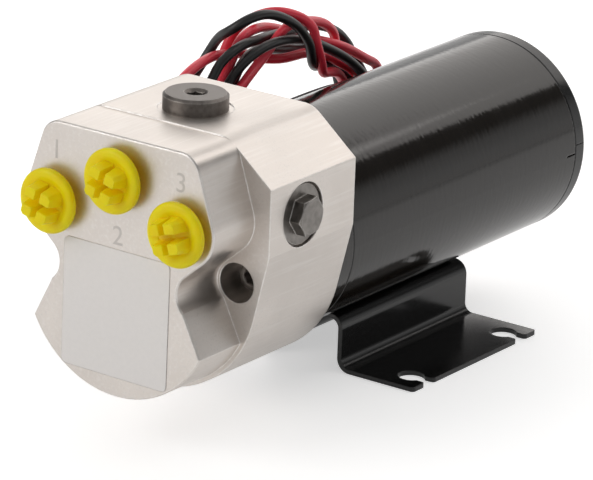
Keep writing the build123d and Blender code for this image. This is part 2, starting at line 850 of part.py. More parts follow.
# Field magnets: two ferrite arcs bonded inside the tube
for middle, word in ((180, "left"), (0, "right")):
    with BuildPart() as magnet:
        with BuildSketch(facing(core_y - 4)):
            with BuildLine():
                low, high = middle - 62, middle + 62
                outer = ThreePointArc(
                    on_circle(tube_inner_r, low),
                    on_circle(tube_inner_r, middle),
                    on_circle(tube_inner_r, high),
                )
                inner = ThreePointArc(
                    on_circle(magnet_inner_r, low),
                    on_circle(magnet_inner_r, middle),
                    on_circle(magnet_inner_r, high),
                )
                Line(outer @ 0, inner @ 0)
                Line(outer @ 1, inner @ 1)
            make_face()
        extrude(amount=-(core_length + 10))
    save(f"magnet_{word}", magnet.part)

# Armature: shaft with a tang, slotted core, one varnished winding and the commutator
shaft_r = journal_r - run_gap
shaft_y = coupling_y + coupling_length + 0.1
with BuildPart() as armature_shaft:
    with BuildSketch(facing(shaft_y)):
        with Locations((0, axis_z)):
            Circle(shaft_r)
    extrude(amount=-(tube_end + 1.0 - shaft_y))
    with BuildSketch(facing(shaft_y)):
        with Locations((0, axis_z)):
            Rectangle(tang_thick, 2 * shaft_r - 1)
    extrude(amount=tang_length - 0.3)
save("armature_shaft", armature_shaft.part)

core_slots = 12
slot_ring = 15.6
slot_round = 2.8
with BuildPart() as armature_core:
    with BuildSketch(facing(core_y)):
        with Locations((0, axis_z)):
            Circle(core_r)
            Circle(shaft_r, mode=Mode.SUBTRACT)
            with PolarLocations(slot_ring, core_slots):
                Circle(slot_round, mode=Mode.SUBTRACT)
            with PolarLocations(core_r - 1.5, core_slots):
                Rectangle(5.0, 1.8, mode=Mode.SUBTRACT)
    extrude(amount=-core_length)
save("armature_core", armature_core.part)

winding_overhang = 7.0
winding_middle_r = 14.2
winding_thick = 10.8
with BuildPart() as armature_winding:
    with BuildSketch(facing(core_y)):
        with Locations((0, axis_z)):
            with PolarLocations(slot_ring, core_slots):
                Circle(slot_round - 0.1)
    extrude(amount=-core_length)
    for near in (core_y - winding_overhang, core_y + core_length):
        with BuildSketch(Plane.YZ):
            with Locations((near + winding_overhang / 2, axis_z + winding_middle_r)):
                RectangleRounded(winding_overhang, winding_thick, 2.6)
        revolve(axis=Axis((0, 0, axis_z), (0, 1, 0)))
save("armature_winding", armature_winding.part)

with BuildPart() as commutator:
    with BuildSketch(facing(commutator_y)):
        with Locations((0, axis_z)):
            Circle(commutator_r)
    extrude(amount=-commutator_length)
    with BuildSketch(facing(commutator_y)):
        with Locations((0, axis_z)):
            with PolarLocations(commutator_r, core_slots):
                Rectangle(1.6, 0.5)
    extrude(amount=-commutator_length, mode=Mode.SUBTRACT)
    with BuildSketch(facing(commutator_y + commutator_length)):
        with Locations((0, axis_z)):
            Circle(commutator_r + 1)
    extrude(amount=-2.0)
    with Locations(Location((0, commutator_y, axis_z), (90, 0, 0))):
        Hole(shaft_r)
save("commutator", commutator.part)

# Motor bearings: a sealed ball bearing in the front bell, a sintered bush in the end cap
with BuildPart() as front_bearing:
    add(turned_ring(bearing_r, journal_r, spigot_y - bearing_width, bearing_width))
    with BuildSketch(facing(spigot_y - bearing_width)):
        with Locations((0, axis_z)):
            Circle(shield_outer_r)
            Circle(shield_inner_r, mode=Mode.SUBTRACT)
    extrude(amount=-shield_depth, mode=Mode.SUBTRACT)
    with BuildSketch(facing(spigot_y)):
        with Locations((0, axis_z)):
            Circle(shield_outer_r)
            Circle(shield_inner_r, mode=Mode.SUBTRACT)
    extrude(amount=shield_depth, mode=Mode.SUBTRACT)
save("front_bearing", front_bearing.part)
save("rear_bush", turned_ring(rear_bush_r, journal_r, tube_end - end_spigot, rear_bush_length))

# Brush gear: an insulating card on the bell, with two brass boxes, brushes and springs
card_thick = 2.5
card_hole_r = 13.0
box_y = spigot_y + card_thick
box_depth = 9.0
box_height = 8.4
box_start = 13.6
box_end = 28.2
brush_length = 10.5
brush_y = box_y + 1.4
brush_depth = 6.2
brush_height = 5.4
brush_spring_pitch = 1.5
brush_spring_r = 2.0
brush_spring_wire_r = 0.3
with BuildPart() as brush_card:
    with BuildSketch(facing(spigot_y)):
        with Locations((0, axis_z)):
            Circle(tube_inner_r - 0.2)
            Circle(card_hole_r, mode=Mode.SUBTRACT)
        with Locations(*tie_bolts):
            Circle(tie_r + 0.3, mode=Mode.SUBTRACT)
    extrude(amount=-card_thick)
save("brush_card", brush_card.part)

box_width = box_end - box_start
with BuildPart() as brush_boxes:
    with BuildSketch(facing(box_y)):
        with Locations(
            (-(box_start + box_end) / 2, axis_z), ((box_start + box_end) / 2, axis_z)
        ):
            Rectangle(box_width, box_height)
    extrude(amount=-box_depth)
    for side in (-1, 1):
        with BuildSketch(across(side * (box_start - 1), side)):
            with Locations((side * (brush_y + brush_depth / 2), axis_z)):
                Rectangle(brush_depth, brush_height)
        extrude(amount=box_width, mode=Mode.SUBTRACT)
save("brush_boxes", brush_boxes.part)

brush_tip = commutator_r + run_gap
with BuildPart() as brushes:
    for side in (-1, 1):
        with BuildSketch(facing(brush_y)):
            with Locations((side * (brush_tip - 1 + brush_length / 2), axis_z)):
                Rectangle(brush_length, brush_height)
        extrude(amount=-brush_depth)
    with BuildSketch(facing(brush_y)):
        with Locations((0, axis_z)):
            Circle(brush_tip)
    extrude(amount=-brush_depth, mode=Mode.SUBTRACT)
save("brushes", brushes.part)

brush_end = brush_tip - 1 + brush_length
with BuildPart() as brush_springs:
    for side in (-1, 1):
        with BuildLine() as turns:
            Helix(
                pitch=brush_spring_pitch,
                height=box_end - 2.0 - brush_end,
                radius=brush_spring_r,
                center=(side * (brush_end + 0.4), brush_y + brush_depth / 2, axis_z),
                direction=(side, 0, 0),
            )
        with BuildSketch(turns.line ^ 0):
            Circle(brush_spring_wire_r)
        sweep()
save("brush_springs", brush_springs.part)

# Mounting bracket: one folded sheet, a hat section whose feet have open keyhole slots
with BuildPart() as mounting_bracket:
    with BuildSketch(facing(foot_half_y)) as hat:
        with BuildLine():
            Polyline(
                (0, hat_z),
                (wall_x, hat_z),
                (wall_x, sheet),
                (foot_edge_x, sheet),
                (foot_edge_x, 0),
                (wall_x - sheet, 0),
                (wall_x - sheet, hat_z - sheet),
                (0, hat_z - sheet),
                close=True,
            )
        make_face()
        corners = hat.vertices().filter_by(lambda v: abs(v.X - wall_x) < sheet + 0.1)
        fillet(corners.filter_by(lambda v: sheet / 2 < v.Y < hat_z - sheet / 2), bend_r)
        corners = hat.vertices().filter_by(lambda v: abs(v.X - wall_x) < sheet + 0.1)
        fillet(
            corners.filter_by(lambda v: v.Y < sheet / 2 or v.Y > hat_z - sheet / 2),
            bend_r + sheet,
        )
        mirror(about=Plane.YZ)
    extrude(amount=2 * foot_half_y)
    for side in (-1, 1):
        for end in (-1, 1):
            with BuildSketch(Plane.XY.offset(-1)) as keyhole:
                with Locations((side * slot_x, end * slot_y)):
                    Circle(slot_r)
                with Locations((side * (slot_x + foot_edge_x + 1) / 2, end * slot_y)):
                    Rectangle(foot_edge_x + 1 - slot_x, neck_width)
            extrude(amount=sheet + 2, mode=Mode.SUBTRACT)
    with BuildSketch(Plane.XY.offset(hat_z)):
        with Locations(*bracket_holes):
            Circle(bracket_screw_r + 0.2)
    extrude(amount=-sheet, mode=Mode.SUBTRACT)
    outer_corners = (
        mounting_bracket.edges()
        .filter_by(Axis.Z)
        .filter_by(lambda e: abs(e.center().X) > foot_edge_x - 0.1)
    )
    fillet(outer_corners, neck_round)
save("mounting_bracket", mounting_bracket.part)

with BuildPart() as bracket_screws:
    with BuildSketch(Plane.XY.offset(hat_z - sheet)):
        with Locations(*bracket_holes):
            Circle(bracket_head_r)
    extrude(amount=-bracket_head)
    fillet(bracket_screws.edges().group_by(Axis.Z)[0], 1.6)
    with BuildSketch(Plane.XY.offset(hat_z - sheet)):
        with Locations(*bracket_holes):
            Circle(bracket_screw_r)
    extrude(amount=4.6)
    with BuildSketch(Plane.XY.offset(hat_z - sheet - bracket_head)):
        with Locations(*bracket_holes):
            RegularPolygon(1.5, 6, major_radius=False)
    extrude(amount=1.8, mode=Mode.SUBTRACT)
save("bracket_screws", bracket_screws.part)

# Leads: a moulded grommet on the front bell, then two leads that run back along the tube's
# shoulder, turn round under the coil and hook over it
with BuildPart() as lead_grommet:
    with BuildSketch(facing(grommet_y + grommet_length)):
        with BuildLine():
            low, high = black_angle - 5, red_angle + 5
            seat = ThreePointArc(
                on_circle(motor_r, low), on_circle(motor_r, grommet_angle), on_circle(motor_r, high)
            )
            crown_r = lead_lane_r + lead_r + grommet_wall
            crown = ThreePointArc(
                on_circle(crown_r, low + 3),
                on_circle(crown_r, grommet_angle),
                on_circle(crown_r, high - 3),
            )
            Line(seat @ 0, crown @ 0)
            Line(seat @ 1, crown @ 1)
        make_face()
    extrude(amount=grommet_length)
    fillet(lead_grommet.edges().group_by(Axis.Y)[0], 0.8)
    with BuildSketch(Plane(origin=neck_start + outward * neck_r, z_dir=outward)):
        Circle(neck_r)
    extrude(amount=motor_r + 0.5 - neck_foot - neck_r)
save("lead_grommet", lead_grommet.part)


def lane(angle, y, rise=0.0):
    """Point of a lead that lies along the tube's shoulder."""
    x, z = on_circle(lead_lane_r + rise, angle)
    return (x, y, z)


lead_start = grommet_y + grommet_length
routes = {
    "black_lead": [
        lane(black_angle, lead_start),
        lane(black_angle, -35.0),
        lane(black_angle, -12.0, 0.2),
        lane(black_angle, 8.0, 0.6),
        (-31.5, 22.5, 72.5),
        (-36.5, 31.5, 73.5),
        (-47.0, 29.5, 74.5),
        (-46.0, 17.5, 75.5),
        (-38.0, 10.0, 76.5),
        (-32.0, 9.0, 82.5),
        (-31.5, 5.5, 91.0),
        (-32.5, -2.5, 99.0),
        (-34.5, -14.0, 104.0),
        (-38.0, -23.5, 100.0),
        (-41.5, -23.5, 91.0),
    ],
    "red_lead": [
        lane(red_angle, lead_start),
        lane(red_angle, -33.0),
        lane(red_angle, -8.0, 0.2),
        lane(red_angle, 14.0, 0.6),
        (-33.5, 28.0, 68.5),
        (-37.0, 37.5, 69.5),
        (-47.5, 36.0, 70.5),
        (-47.0, 24.0, 71.5),
        (-39.5, 17.0, 72.5),
        (-32.5, 16.5, 77.0),
        (-31.5, 15.0, 86.0),
        (-32.5, 9.5, 95.0),
        (-36.5, 0.5, 100.5),
        (-40.5, -7.0, 98.0),
        (-42.0, -12.5, 92.0),
    ],
}
for name, points in routes.items():
    spots = [Vector(*p) for p in points]
    radii = []
    for before, here, after in zip(spots, spots[1:], spots[2:]):
        turn = radians((here - before).get_angle(after - here))
        shorter = min((here - before).length, (after - here).length)
        radii.append(0.45 * shorter / tan(turn / 2))
    print(name, "radii", [round(r, 1) for r in radii])
    with BuildPart() as lead:
        with BuildLine() as path:
            FilletPolyline(*points, radius=radii)
        with BuildSketch(Plane(origin=points[0], z_dir=path.line % 0)):
            Circle(lead_r)
        sweep()
    print(name, "length", round(path.wires()[0].length, 1))
    save(name, lead.part)

# The wound-up length of both leads, a ring on edge beside the motor
with BuildPart() as lead_coil:
    with BuildSketch(Plane(origin=coil_centre, x_dir=(0, 1, 0), z_dir=(1, 0, 0))):
        RectangleRounded(coil_length, coil_height, coil_corner_r)
        RectangleRounded(
            coil_length - 2 * coil_thick,
            coil_height - 2 * coil_thick,
            coil_corner_r - coil_thick,
            mode=Mode.SUBTRACT,
        )
    extrude(amount=coil_thick / 2, both=True)
    fillet(lead_coil.edges().filter_by(lambda e: abs(e.tangent_at(0).X) < 0.5), coil_round)
save("lead_coil", lead_coil.part)
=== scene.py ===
import math

import bmesh
import bpy
from mathutils import Matrix, Vector


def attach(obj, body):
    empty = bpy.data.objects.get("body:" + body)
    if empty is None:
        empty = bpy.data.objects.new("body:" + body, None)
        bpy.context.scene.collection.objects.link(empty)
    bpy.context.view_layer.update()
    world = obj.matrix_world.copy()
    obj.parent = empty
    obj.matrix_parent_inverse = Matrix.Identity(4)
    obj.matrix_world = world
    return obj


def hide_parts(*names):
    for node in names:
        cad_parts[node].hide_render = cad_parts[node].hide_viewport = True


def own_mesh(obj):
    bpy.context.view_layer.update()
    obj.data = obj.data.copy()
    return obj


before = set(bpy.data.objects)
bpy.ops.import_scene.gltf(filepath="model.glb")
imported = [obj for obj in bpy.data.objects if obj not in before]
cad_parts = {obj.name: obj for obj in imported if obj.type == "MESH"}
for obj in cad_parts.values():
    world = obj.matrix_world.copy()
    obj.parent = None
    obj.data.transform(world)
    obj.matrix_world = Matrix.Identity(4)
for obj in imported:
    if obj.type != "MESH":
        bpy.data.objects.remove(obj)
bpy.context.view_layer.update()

# Studio: a pale floor, three softboxes and a long lens. The camera stands in front of the
# ports, well round to the right and a little above, and looks past the block along the
# motor. The port face's middle falls on its own pixel of the picture.
axis_z = 0.0515
port_face = Vector((0, -0.1325, axis_z))
camera_azimuth = math.radians(37.48)
camera_elevation = math.radians(19.52)
camera_roll = math.radians(1.26)
camera_distance = 1.3718
focal_pixels = 4649.2
picture = Vector((593, 480))
port_face_pixel = Vector((116.84, 285.64))
sensor_width = 36

back = Vector((
    math.sin(camera_azimuth) * math.cos(camera_elevation),
    -math.cos(camera_azimuth) * math.cos(camera_elevation),
    math.sin(camera_elevation),
))
level = Vector((math.cos(camera_azimuth), math.sin(camera_azimuth), 0))
upright = back.cross(level)
right = level * math.cos(camera_roll) + upright * math.sin(camera_roll)
above = upright * math.cos(camera_roll) - level * math.sin(camera_roll)
offset = picture / 2 - port_face_pixel
aim = right * offset.x - above * offset.y - back * focal_pixels
camera_data = bpy.data.cameras.new("studio_camera")
camera_data.sensor_width = sensor_width
camera_data.lens = sensor_width * aim.length / picture.x
camera_data.clip_start = 0.05
camera = bpy.data.objects.new("studio_camera", camera_data)
bpy.context.collection.objects.link(camera)
out_of_lens = -aim.normalized()
sideways = above.cross(out_of_lens).normalized()
turn = Matrix((sideways, out_of_lens.cross(sideways), out_of_lens)).transposed()
camera.matrix_world = Matrix.Translation(port_face + back * camera_distance) @ turn.to_4x4()
bpy.context.scene.camera = camera
bpy.context.scene.view_settings.view_transform = "Standard"


def new_material(name):
    """A material with its shader node, ready for the finish's own nodes."""
    material = bpy.data.materials.new(name)
    material.use_nodes = True
    nodes = material.node_tree.nodes
    return material, nodes, material.node_tree.links, nodes["Principled BSDF"]


pump_middle = Vector((0, -0.03, 0.05))


def softbox(name, place, width, height, power, colour):
    """A rectangular lamp that faces the pump."""
    data = bpy.data.lights.new(name, "AREA")
    data.shape = "RECTANGLE"
    data.size = width
    data.size_y = height
    data.energy = power
    data.color = colour
    lamp = bpy.data.objects.new(name, data)
    lamp.location = place
    lamp.rotation_euler = (pump_middle - Vector(place)).to_track_quat("-Z", "Y").to_euler()
    bpy.context.collection.objects.link(lamp)


softbox("softbox_over_motor", (-0.41, 0.94, 0.63), 2.0, 0.68, 5.8, (1.0, 0.965, 0.935))
softbox("softbox_front", (-0.7, -1.1, 0.75), 0.9, 0.7, 6.2, (1.0, 0.98, 0.96))
softbox("softbox_above", (0.48, 0.58, 0.97), 0.8, 0.6, 2.0, (1.0, 0.97, 0.945))

# Room: pale near the horizon, with a dark band above it that the black tube mirrors, and
# plain white behind the pump for the camera.
horizon_colour = (0.72, 0.71, 0.7, 1)
zenith_colour = (0.55, 0.55, 0.55, 1)
room_steps = ((0.1, 0.7), (0.26, 0.5), (0.36, 0.1), (0.6, 0.12), (0.75, 0.45))
world = bpy.data.worlds.new("studio")
world.use_nodes = True
bpy.context.scene.world = world
world_nodes = world.node_tree.nodes
world_links = world.node_tree.links
direction = world_nodes.new("ShaderNodeTexCoord")
height_of_ray = world_nodes.new("ShaderNodeSeparateXYZ")
brightness = world_nodes.new("ShaderNodeValToRGB")
brightness.color_ramp.elements[0].position = 0.0
brightness.color_ramp.elements[0].color = horizon_colour
brightness.color_ramp.elements[1].position = 1.0
brightness.color_ramp.elements[1].color = zenith_colour
for place, grey in room_steps:
    element = brightness.color_ramp.elements.new(place)
    element.color = (grey, grey, grey, 1)
world_links.new(direction.outputs["Generated"], height_of_ray.inputs[0])
world_links.new(height_of_ray.outputs["Z"], brightness.inputs["Fac"])
backdrop = world_nodes.new("ShaderNodeMix")
backdrop.data_type = "RGBA"
backdrop.inputs["B"].default_value = (1, 1, 1, 1)
sight = world_nodes.new("ShaderNodeLightPath")
world_links.new(sight.outputs["Is Camera Ray"], backdrop.inputs["Factor"])
world_links.new(brightness.outputs["Color"], backdrop.inputs["A"])
world_links.new(backdrop.outputs["Result"], world_nodes["Background"].inputs["Color"])

# Floor: one large matt white board. It looks white to the camera, a little darker in the
# metal's reflections, and keeps the pump's shadow.
floor_half = 4.0
glow_to_camera = 0.5
glow_in_reflections = 0.3
floor_mesh = bpy.data.meshes.new("floor")
shape = bmesh.new()
bmesh.ops.create_grid(shape, x_segments=1, y_segments=1, size=floor_half)
shape.to_mesh(floor_mesh)
shape.free()
floor = bpy.data.objects.new("floor", floor_mesh)
bpy.context.collection.objects.link(floor)
floor_paint, nodes, links, shader = new_material("floor_paint")
shader.inputs["Base Color"].default_value = (0.86, 0.86, 0.86, 1)
shader.inputs["Roughness"].default_value = 0.55
shader.inputs["Emission Color"].default_value = (1, 1, 1, 1)
rays = nodes.new("ShaderNodeLightPath")
mirrored = nodes.new("ShaderNodeMath")
mirrored.operation = "MULTIPLY"
mirrored.inputs[1].default_value = glow_in_reflections
glow = nodes.new("ShaderNodeMath")
glow.operation = "MULTIPLY_ADD"
glow.inputs[1].default_value = glow_to_camera
links.new(rays.outputs["Is Glossy Ray"], mirrored.inputs[0])
links.new(rays.outputs["Is Camera Ray"], glow.inputs[0])
links.new(mirrored.outputs["Value"], glow.inputs[2])
links.new(glow.outputs["Value"], shader.inputs["Emission Strength"])
floor.data.materials.append(floor_paint)


def finish_node(name, material):
    """Gives a CAD node its finish."""
    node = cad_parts[name]
    node.data.materials.clear()
    node.data.materials.append(material)


def object_noise(nodes, links, scale, detail, stretch=(1, 1, 1)):
    """Noise in the piece's own coordinates, in metres, stretched along an axis."""
    place = nodes.new("ShaderNodeTexCoord")
    mapping = nodes.new("ShaderNodeMapping")
    mapping.inputs["Scale"].default_value = stretch
    noise = nodes.new("ShaderNodeTexNoise")
    noise.inputs["Scale"].default_value = scale
    noise.inputs["Detail"].default_value = detail
    links.new(place.outputs["Object"], mapping.inputs["Vector"])
    links.new(mapping.outputs["Vector"], noise.inputs["Vector"])
    return noise.outputs["Fac"]


def spread(nodes, links, value, low, high, low_at=0.3, high_at=0.7):
    """Turns a 0 to 1 value into a range."""
    ramp = nodes.new("ShaderNodeMapRange")
    ramp.inputs["From Min"].default_value = low_at
    ramp.inputs["From Max"].default_value = high_at
    ramp.inputs["To Min"].default_value = low
    ramp.inputs["To Max"].default_value = high
    links.new(value, ramp.inputs["Value"])
    return ramp.outputs["Result"]


def tint(nodes, links, value, dark, light):
    """Mixes two colours by a value. Either colour may be another mix."""
    mix = nodes.new("ShaderNodeMix")
    mix.data_type = "RGBA"
    for slot, colour in (("A", dark), ("B", light)):
        if isinstance(colour, (tuple, list)):
            mix.inputs[slot].default_value = (*colour, 1)
        else:
            links.new(colour, mix.inputs[slot])
    links.new(value, mix.inputs["Factor"])
    return mix.outputs["Result"]


def edge_normal_and_mask(nodes, links, radius, patchy):
    """Soft normal of an edge, and a patchy mask along the edges, where most finishes get a painted
    highlight.
    """
    soft = nodes.new("ShaderNodeBevel")
    soft.samples = 4
    soft.inputs["Radius"].default_value = radius
    geometry = nodes.new("ShaderNodeNewGeometry")
    same = nodes.new("ShaderNodeVectorMath")
    same.operation = "DOT_PRODUCT"
    links.new(soft.outputs["Normal"], same.inputs[0])
    links.new(geometry.outputs["True Normal"], same.inputs[1])
    edge = spread(nodes, links, same.outputs["Value"], 1, 0, 0.9, 0.995)
    broken = nodes.new("ShaderNodeMath")
    broken.operation = "MULTIPLY"
    links.new(edge, broken.inputs[0])
    links.new(spread(nodes, links, patchy, 0.4, 1, 0.4, 0.6), broken.inputs[1])
    return soft.outputs["Normal"], broken.outputs["Value"]


def bump(nodes, links, shader, value, strength, distance, normal=None):
    """Raises the surface by a value, over the soft normal of the edges if one is given."""
    rise = nodes.new("ShaderNodeBump")
    rise.inputs["Strength"].default_value = strength
    rise.inputs["Distance"].default_value = distance
    links.new(value, rise.inputs["Height"])
    if normal is not None:
        links.new(normal, rise.inputs["Normal"])
    links.new(rise.outputs["Normal"], shader.inputs["Normal"])


# Pump body: one block of aluminium, milled on every face along the motor's line, so that
# its skin is a warm, pale grey with fine cutter lines. Its thin edges carry a painted
# highlight, a lighter colour broken in places.
milled, nodes, links, shader = new_material("milled_aluminium")
shader.inputs["Metallic"].default_value = 1.0
clouds = object_noise(nodes, links, 45, 6)
speckle = object_noise(nodes, links, 1500, 3)
cutter_lines = object_noise(nodes, links, 900, 3, (1, 0.04, 1))
soft_edge, painted_edge_highlight = edge_normal_and_mask(nodes, links, 0.0006, object_noise(nodes, links, 350, 3))
skin = tint(
    nodes, links, spread(nodes, links, clouds, 0, 1), (0.63, 0.583, 0.543), (0.74, 0.693, 0.652)
)
skin = tint(
    nodes, links, spread(nodes, links, speckle, 0, 1, 0.25, 0.45), (0.645, 0.61, 0.58), skin
)
skin = tint(
    nodes, links, spread(nodes, links, cutter_lines, 0, 0.5, 0.5, 0.75), skin, (0.77, 0.74, 0.71)
)
# Painted highlight: a lighter colour along the edges.
links.new(tint(nodes, links, painted_edge_highlight, skin, (0.97, 0.95, 0.93)), shader.inputs["Base Color"])
links.new(spread(nodes, links, clouds, 0.32, 0.46), shader.inputs["Roughness"])
bump(nodes, links, shader, cutter_lines, 0.4, 0.00004, soft_edge)
finish_node("pump_body", milled)

# Plate, gears, valves, shafts and bearings: turned or ground steel, oiled and bright, with
# fine marks from the tool. Only the tie bolts' heads show from outside, on the end cap.
ground, nodes, links, shader = new_material("ground_steel")
shader.inputs["Metallic"].default_value = 1.0
marks = object_noise(nodes, links, 700, 3, (0.08, 1, 1))
links.new(
    tint(nodes, links, spread(nodes, links, marks, 0, 1), (0.5, 0.49, 0.475), (0.62, 0.61, 0.6)),
    shader.inputs["Base Color"],
)
links.new(spread(nodes, links, marks, 0.24, 0.38), shader.inputs["Roughness"])
bump(nodes, links, shader, marks, 0.15, 0.00003)
for name in (
    "bearing_plate", "drive_gear", "idler_gear", "pilot_spool", "valve_seat_left", "valve_seat_right",
    "check_poppet_left", "check_poppet_right", "armature_shaft", "shaft_coupling", "front_bearing",
    "poppet_spring_left", "poppet_spring_right", "brush_springs", "tie_bolts", "armature_core",
):
    finish_node(name, ground)

# Poppet springs: each stands between its poppet and the side plug. Each gets a mesh of its
# own.
for side, word in ((-1, "left"), (1, "right")):
    spring = f"poppet_spring_{word}"
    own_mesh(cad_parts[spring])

# Port caps: moulded in yellow polythene and pushed into the ports for transit. It lets
# light a little way in, so that the slots glow, and handling has dulled it in patches.
yellow, nodes, links, shader = new_material("yellow_polythene")
mottle = object_noise(nodes, links, 260, 3)
links.new(
    tint(nodes, links, spread(nodes, links, mottle, 0, 1), (0.98, 0.72, 0.002), (1.0, 0.78, 0.004)),
    shader.inputs["Base Color"],
)
dulling = object_noise(nodes, links, 600, 2)
links.new(spread(nodes, links, dulling, 0.3, 0.42), shader.inputs["Roughness"])
shader.inputs["Specular IOR Level"].default_value = 0.25
shader.inputs["Subsurface Weight"].default_value = 0.75
shader.inputs["Subsurface Radius"].default_value = (1.0, 0.75, 0.12)
shader.inputs["Subsurface Scale"].default_value = 0.004
ripple = object_noise(nodes, links, 500, 2)
bump(nodes, links, shader, ripple, 0.12, 0.00005, edge_normal_and_mask(nodes, links, 0.0005, mottle)[0])
for name in ("port_cap_a", "port_cap_b", "port_cap_r"):
    finish_node(name, yellow)

# Label: a matt white vinyl sticker, left blank, on the flat of the nose under the ports.
# Its cut edge has picked up some grey.
vinyl, nodes, links, shader = new_material("white_vinyl")
fibre = object_noise(nodes, links, 700, 4)
soft_edge, soiled = edge_normal_and_mask(nodes, links, 0.0004, object_noise(nodes, links, 300, 3))
face = tint(
    nodes, links, spread(nodes, links, fibre, 0, 1), (0.89, 0.862, 0.842), (0.915, 0.885, 0.865)
)
links.new(tint(nodes, links, soiled, face, (0.55, 0.52, 0.5)), shader.inputs["Base Color"])
links.new(spread(nodes, links, fibre, 0.42, 0.52), shader.inputs["Roughness"])
bump(nodes, links, shader, object_noise(nodes, links, 900, 2), 0.1, 0.00002, soft_edge)
finish_node("rating_label", vinyl)

# Port numbers: plain figures, 6 mm high, lightly marked on the nose beside the ports. They
# are strokes of duller metal, no thicker than a hair.
stroke_half = 0.00002
figure_size = 0.0085
figure_places = (("1", -0.0234, 0.0885), ("2", 0.0, 0.0667), ("3", 0.0226, 0.088))
stamped, nodes, links, shader = new_material("stamped_metal")
shader.inputs["Metallic"].default_value = 1.0
bruise = object_noise(nodes, links, 800, 3)
links.new(
    tint(nodes, links, spread(nodes, links, bruise, 0, 1), (0.5, 0.47, 0.445), (0.6, 0.565, 0.535)),
    shader.inputs["Base Color"],
)
links.new(spread(nodes, links, bruise, 0.42, 0.6), shader.inputs["Roughness"])
bump(nodes, links, shader, bruise, 0.3, 0.00004)
shape = bmesh.new()
for figure, across, high_up in figure_places:
    text = bpy.data.curves.new("port_figure", "FONT")
    text.body = figure
    text.size = figure_size
    text.extrude = stroke_half
    text.align_x = "CENTER"
    text.align_y = "CENTER"
    writing = bpy.data.objects.new("port_figure", text)
    strokes = bpy.data.meshes.new_from_object(writing)
    facing_front = Matrix.Rotation(math.radians(90), 4, "X")
    strokes.transform(Matrix.Translation((across, port_face.y, high_up)) @ facing_front)
    shape.from_mesh(strokes)
    bpy.data.objects.remove(writing)
    bpy.data.meshes.remove(strokes)
bmesh.ops.remove_doubles(shape, verts=shape.verts, dist=0.000001)
number_mesh = bpy.data.meshes.new("port_numbers")
shape.to_mesh(number_mesh)
shape.free()
port_numbers = bpy.data.objects.new("port_numbers", number_mesh)
bpy.context.collection.objects.link(port_numbers)
number_mesh.materials.append(stamped)
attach(port_numbers, "housing")

# Top plug and the cap screws: turned steel, phosphated, so brown-grey with a soft sheen, and
# a painted highlight, a lighter colour in patches, along the edges.


def coat_with_edge_highlight(name, metallic, grain, patches, colours, wear_and_edge_highlight, roughness, relief, edge):
    """A skin of two mixed colours with a fine grain, and a painted highlight in a third colour along the
    edges.
    """
    material, nodes, links, shader = new_material(name)
    shader.inputs["Metallic"].default_value = metallic
    skin_grain = object_noise(nodes, links, *grain)
    soft_edge, painted_edge_highlight = edge_normal_and_mask(nodes, links, edge, object_noise(nodes, links, patches, 3))
    coat = tint(nodes, links, spread(nodes, links, skin_grain, 0, 1), *colours)
    links.new(tint(nodes, links, painted_edge_highlight, coat, wear_and_edge_highlight), shader.inputs["Base Color"])
    links.new(spread(nodes, links, skin_grain, *roughness), shader.inputs["Roughness"])
    bump(nodes, links, shader, skin_grain, *relief, soft_edge)
    return material


phosphate = coat_with_edge_highlight(
    "phosphated_steel", metallic=0.85, grain=(600, 4), patches=500,
    colours=((0.13, 0.115, 0.105), (0.2, 0.18, 0.165)), wear_and_edge_highlight=(0.4, 0.37, 0.34),
    roughness=(0.34, 0.48), relief=(0.2, 0.00004), edge=0.0005,
)
for name in ("top_plug", "body_bolt_left", "body_bolt_right", "plate_screws", "bracket_screws"):
    finish_node(name, phosphate)

# Side plugs: bare steel, the hexagon drawn and the collar turned, with dark mill scale
# left on the flats, and a painted highlight, a lighter colour, along the edges.
plug_steel = coat_with_edge_highlight(
    "plug_steel", metallic=1.0, grain=(420, 4), patches=500,
    colours=((0.17, 0.158, 0.147), (0.28, 0.262, 0.245)), wear_and_edge_highlight=(0.62, 0.6, 0.57),
    roughness=(0.3, 0.44), relief=(0.2, 0.00004), edge=0.0005,
)
for name in ("side_plug_left", "side_plug_right"):
    finish_node(name, plug_steel)

# Motor tube and front bell: rolled steel and an aluminium flange, under one thick coat of
# black gloss paint. It was sprayed on while the tube turned, so that its orange peel is
# drawn out round the tube.
gloss_black, nodes, links, shader = new_material("black_gloss_paint")
peel = object_noise(nodes, links, 700, 3, (0.3, 1, 0.3))
links.new(
    tint(
        nodes, links, spread(nodes, links, peel, 0, 1), (0.0065, 0.0045, 0.003), (0.0095, 0.0068, 0.0047)
    ),
    shader.inputs["Base Color"],
)
haze = object_noise(nodes, links, 70, 3)
links.new(spread(nodes, links, haze, 0.07, 0.12), shader.inputs["Roughness"])
bump(nodes, links, shader, peel, 0.5, 0.00008, edge_normal_and_mask(nodes, links, 0.0005, peel)[0])
for name in ("motor_tube", "motor_front_bell"):
    finish_node(name, gloss_black)

# Bracket and end cap: folded and turned steel under a thinner, satin black paint, with a
# painted highlight of lighter grey along the folds and edges.
satin_black = coat_with_edge_highlight(
    "black_satin_paint", metallic=0.0, grain=(800, 3), patches=400,
    colours=((0.0035, 0.0035, 0.0035), (0.006, 0.006, 0.006)), wear_and_edge_highlight=(0.035, 0.034, 0.032),
    roughness=(0.15, 0.22), relief=(0.08, 0.00003), edge=0.0006,
)
for name in ("motor_end_cap", "mounting_bracket"):
    finish_node(name, satin_black)

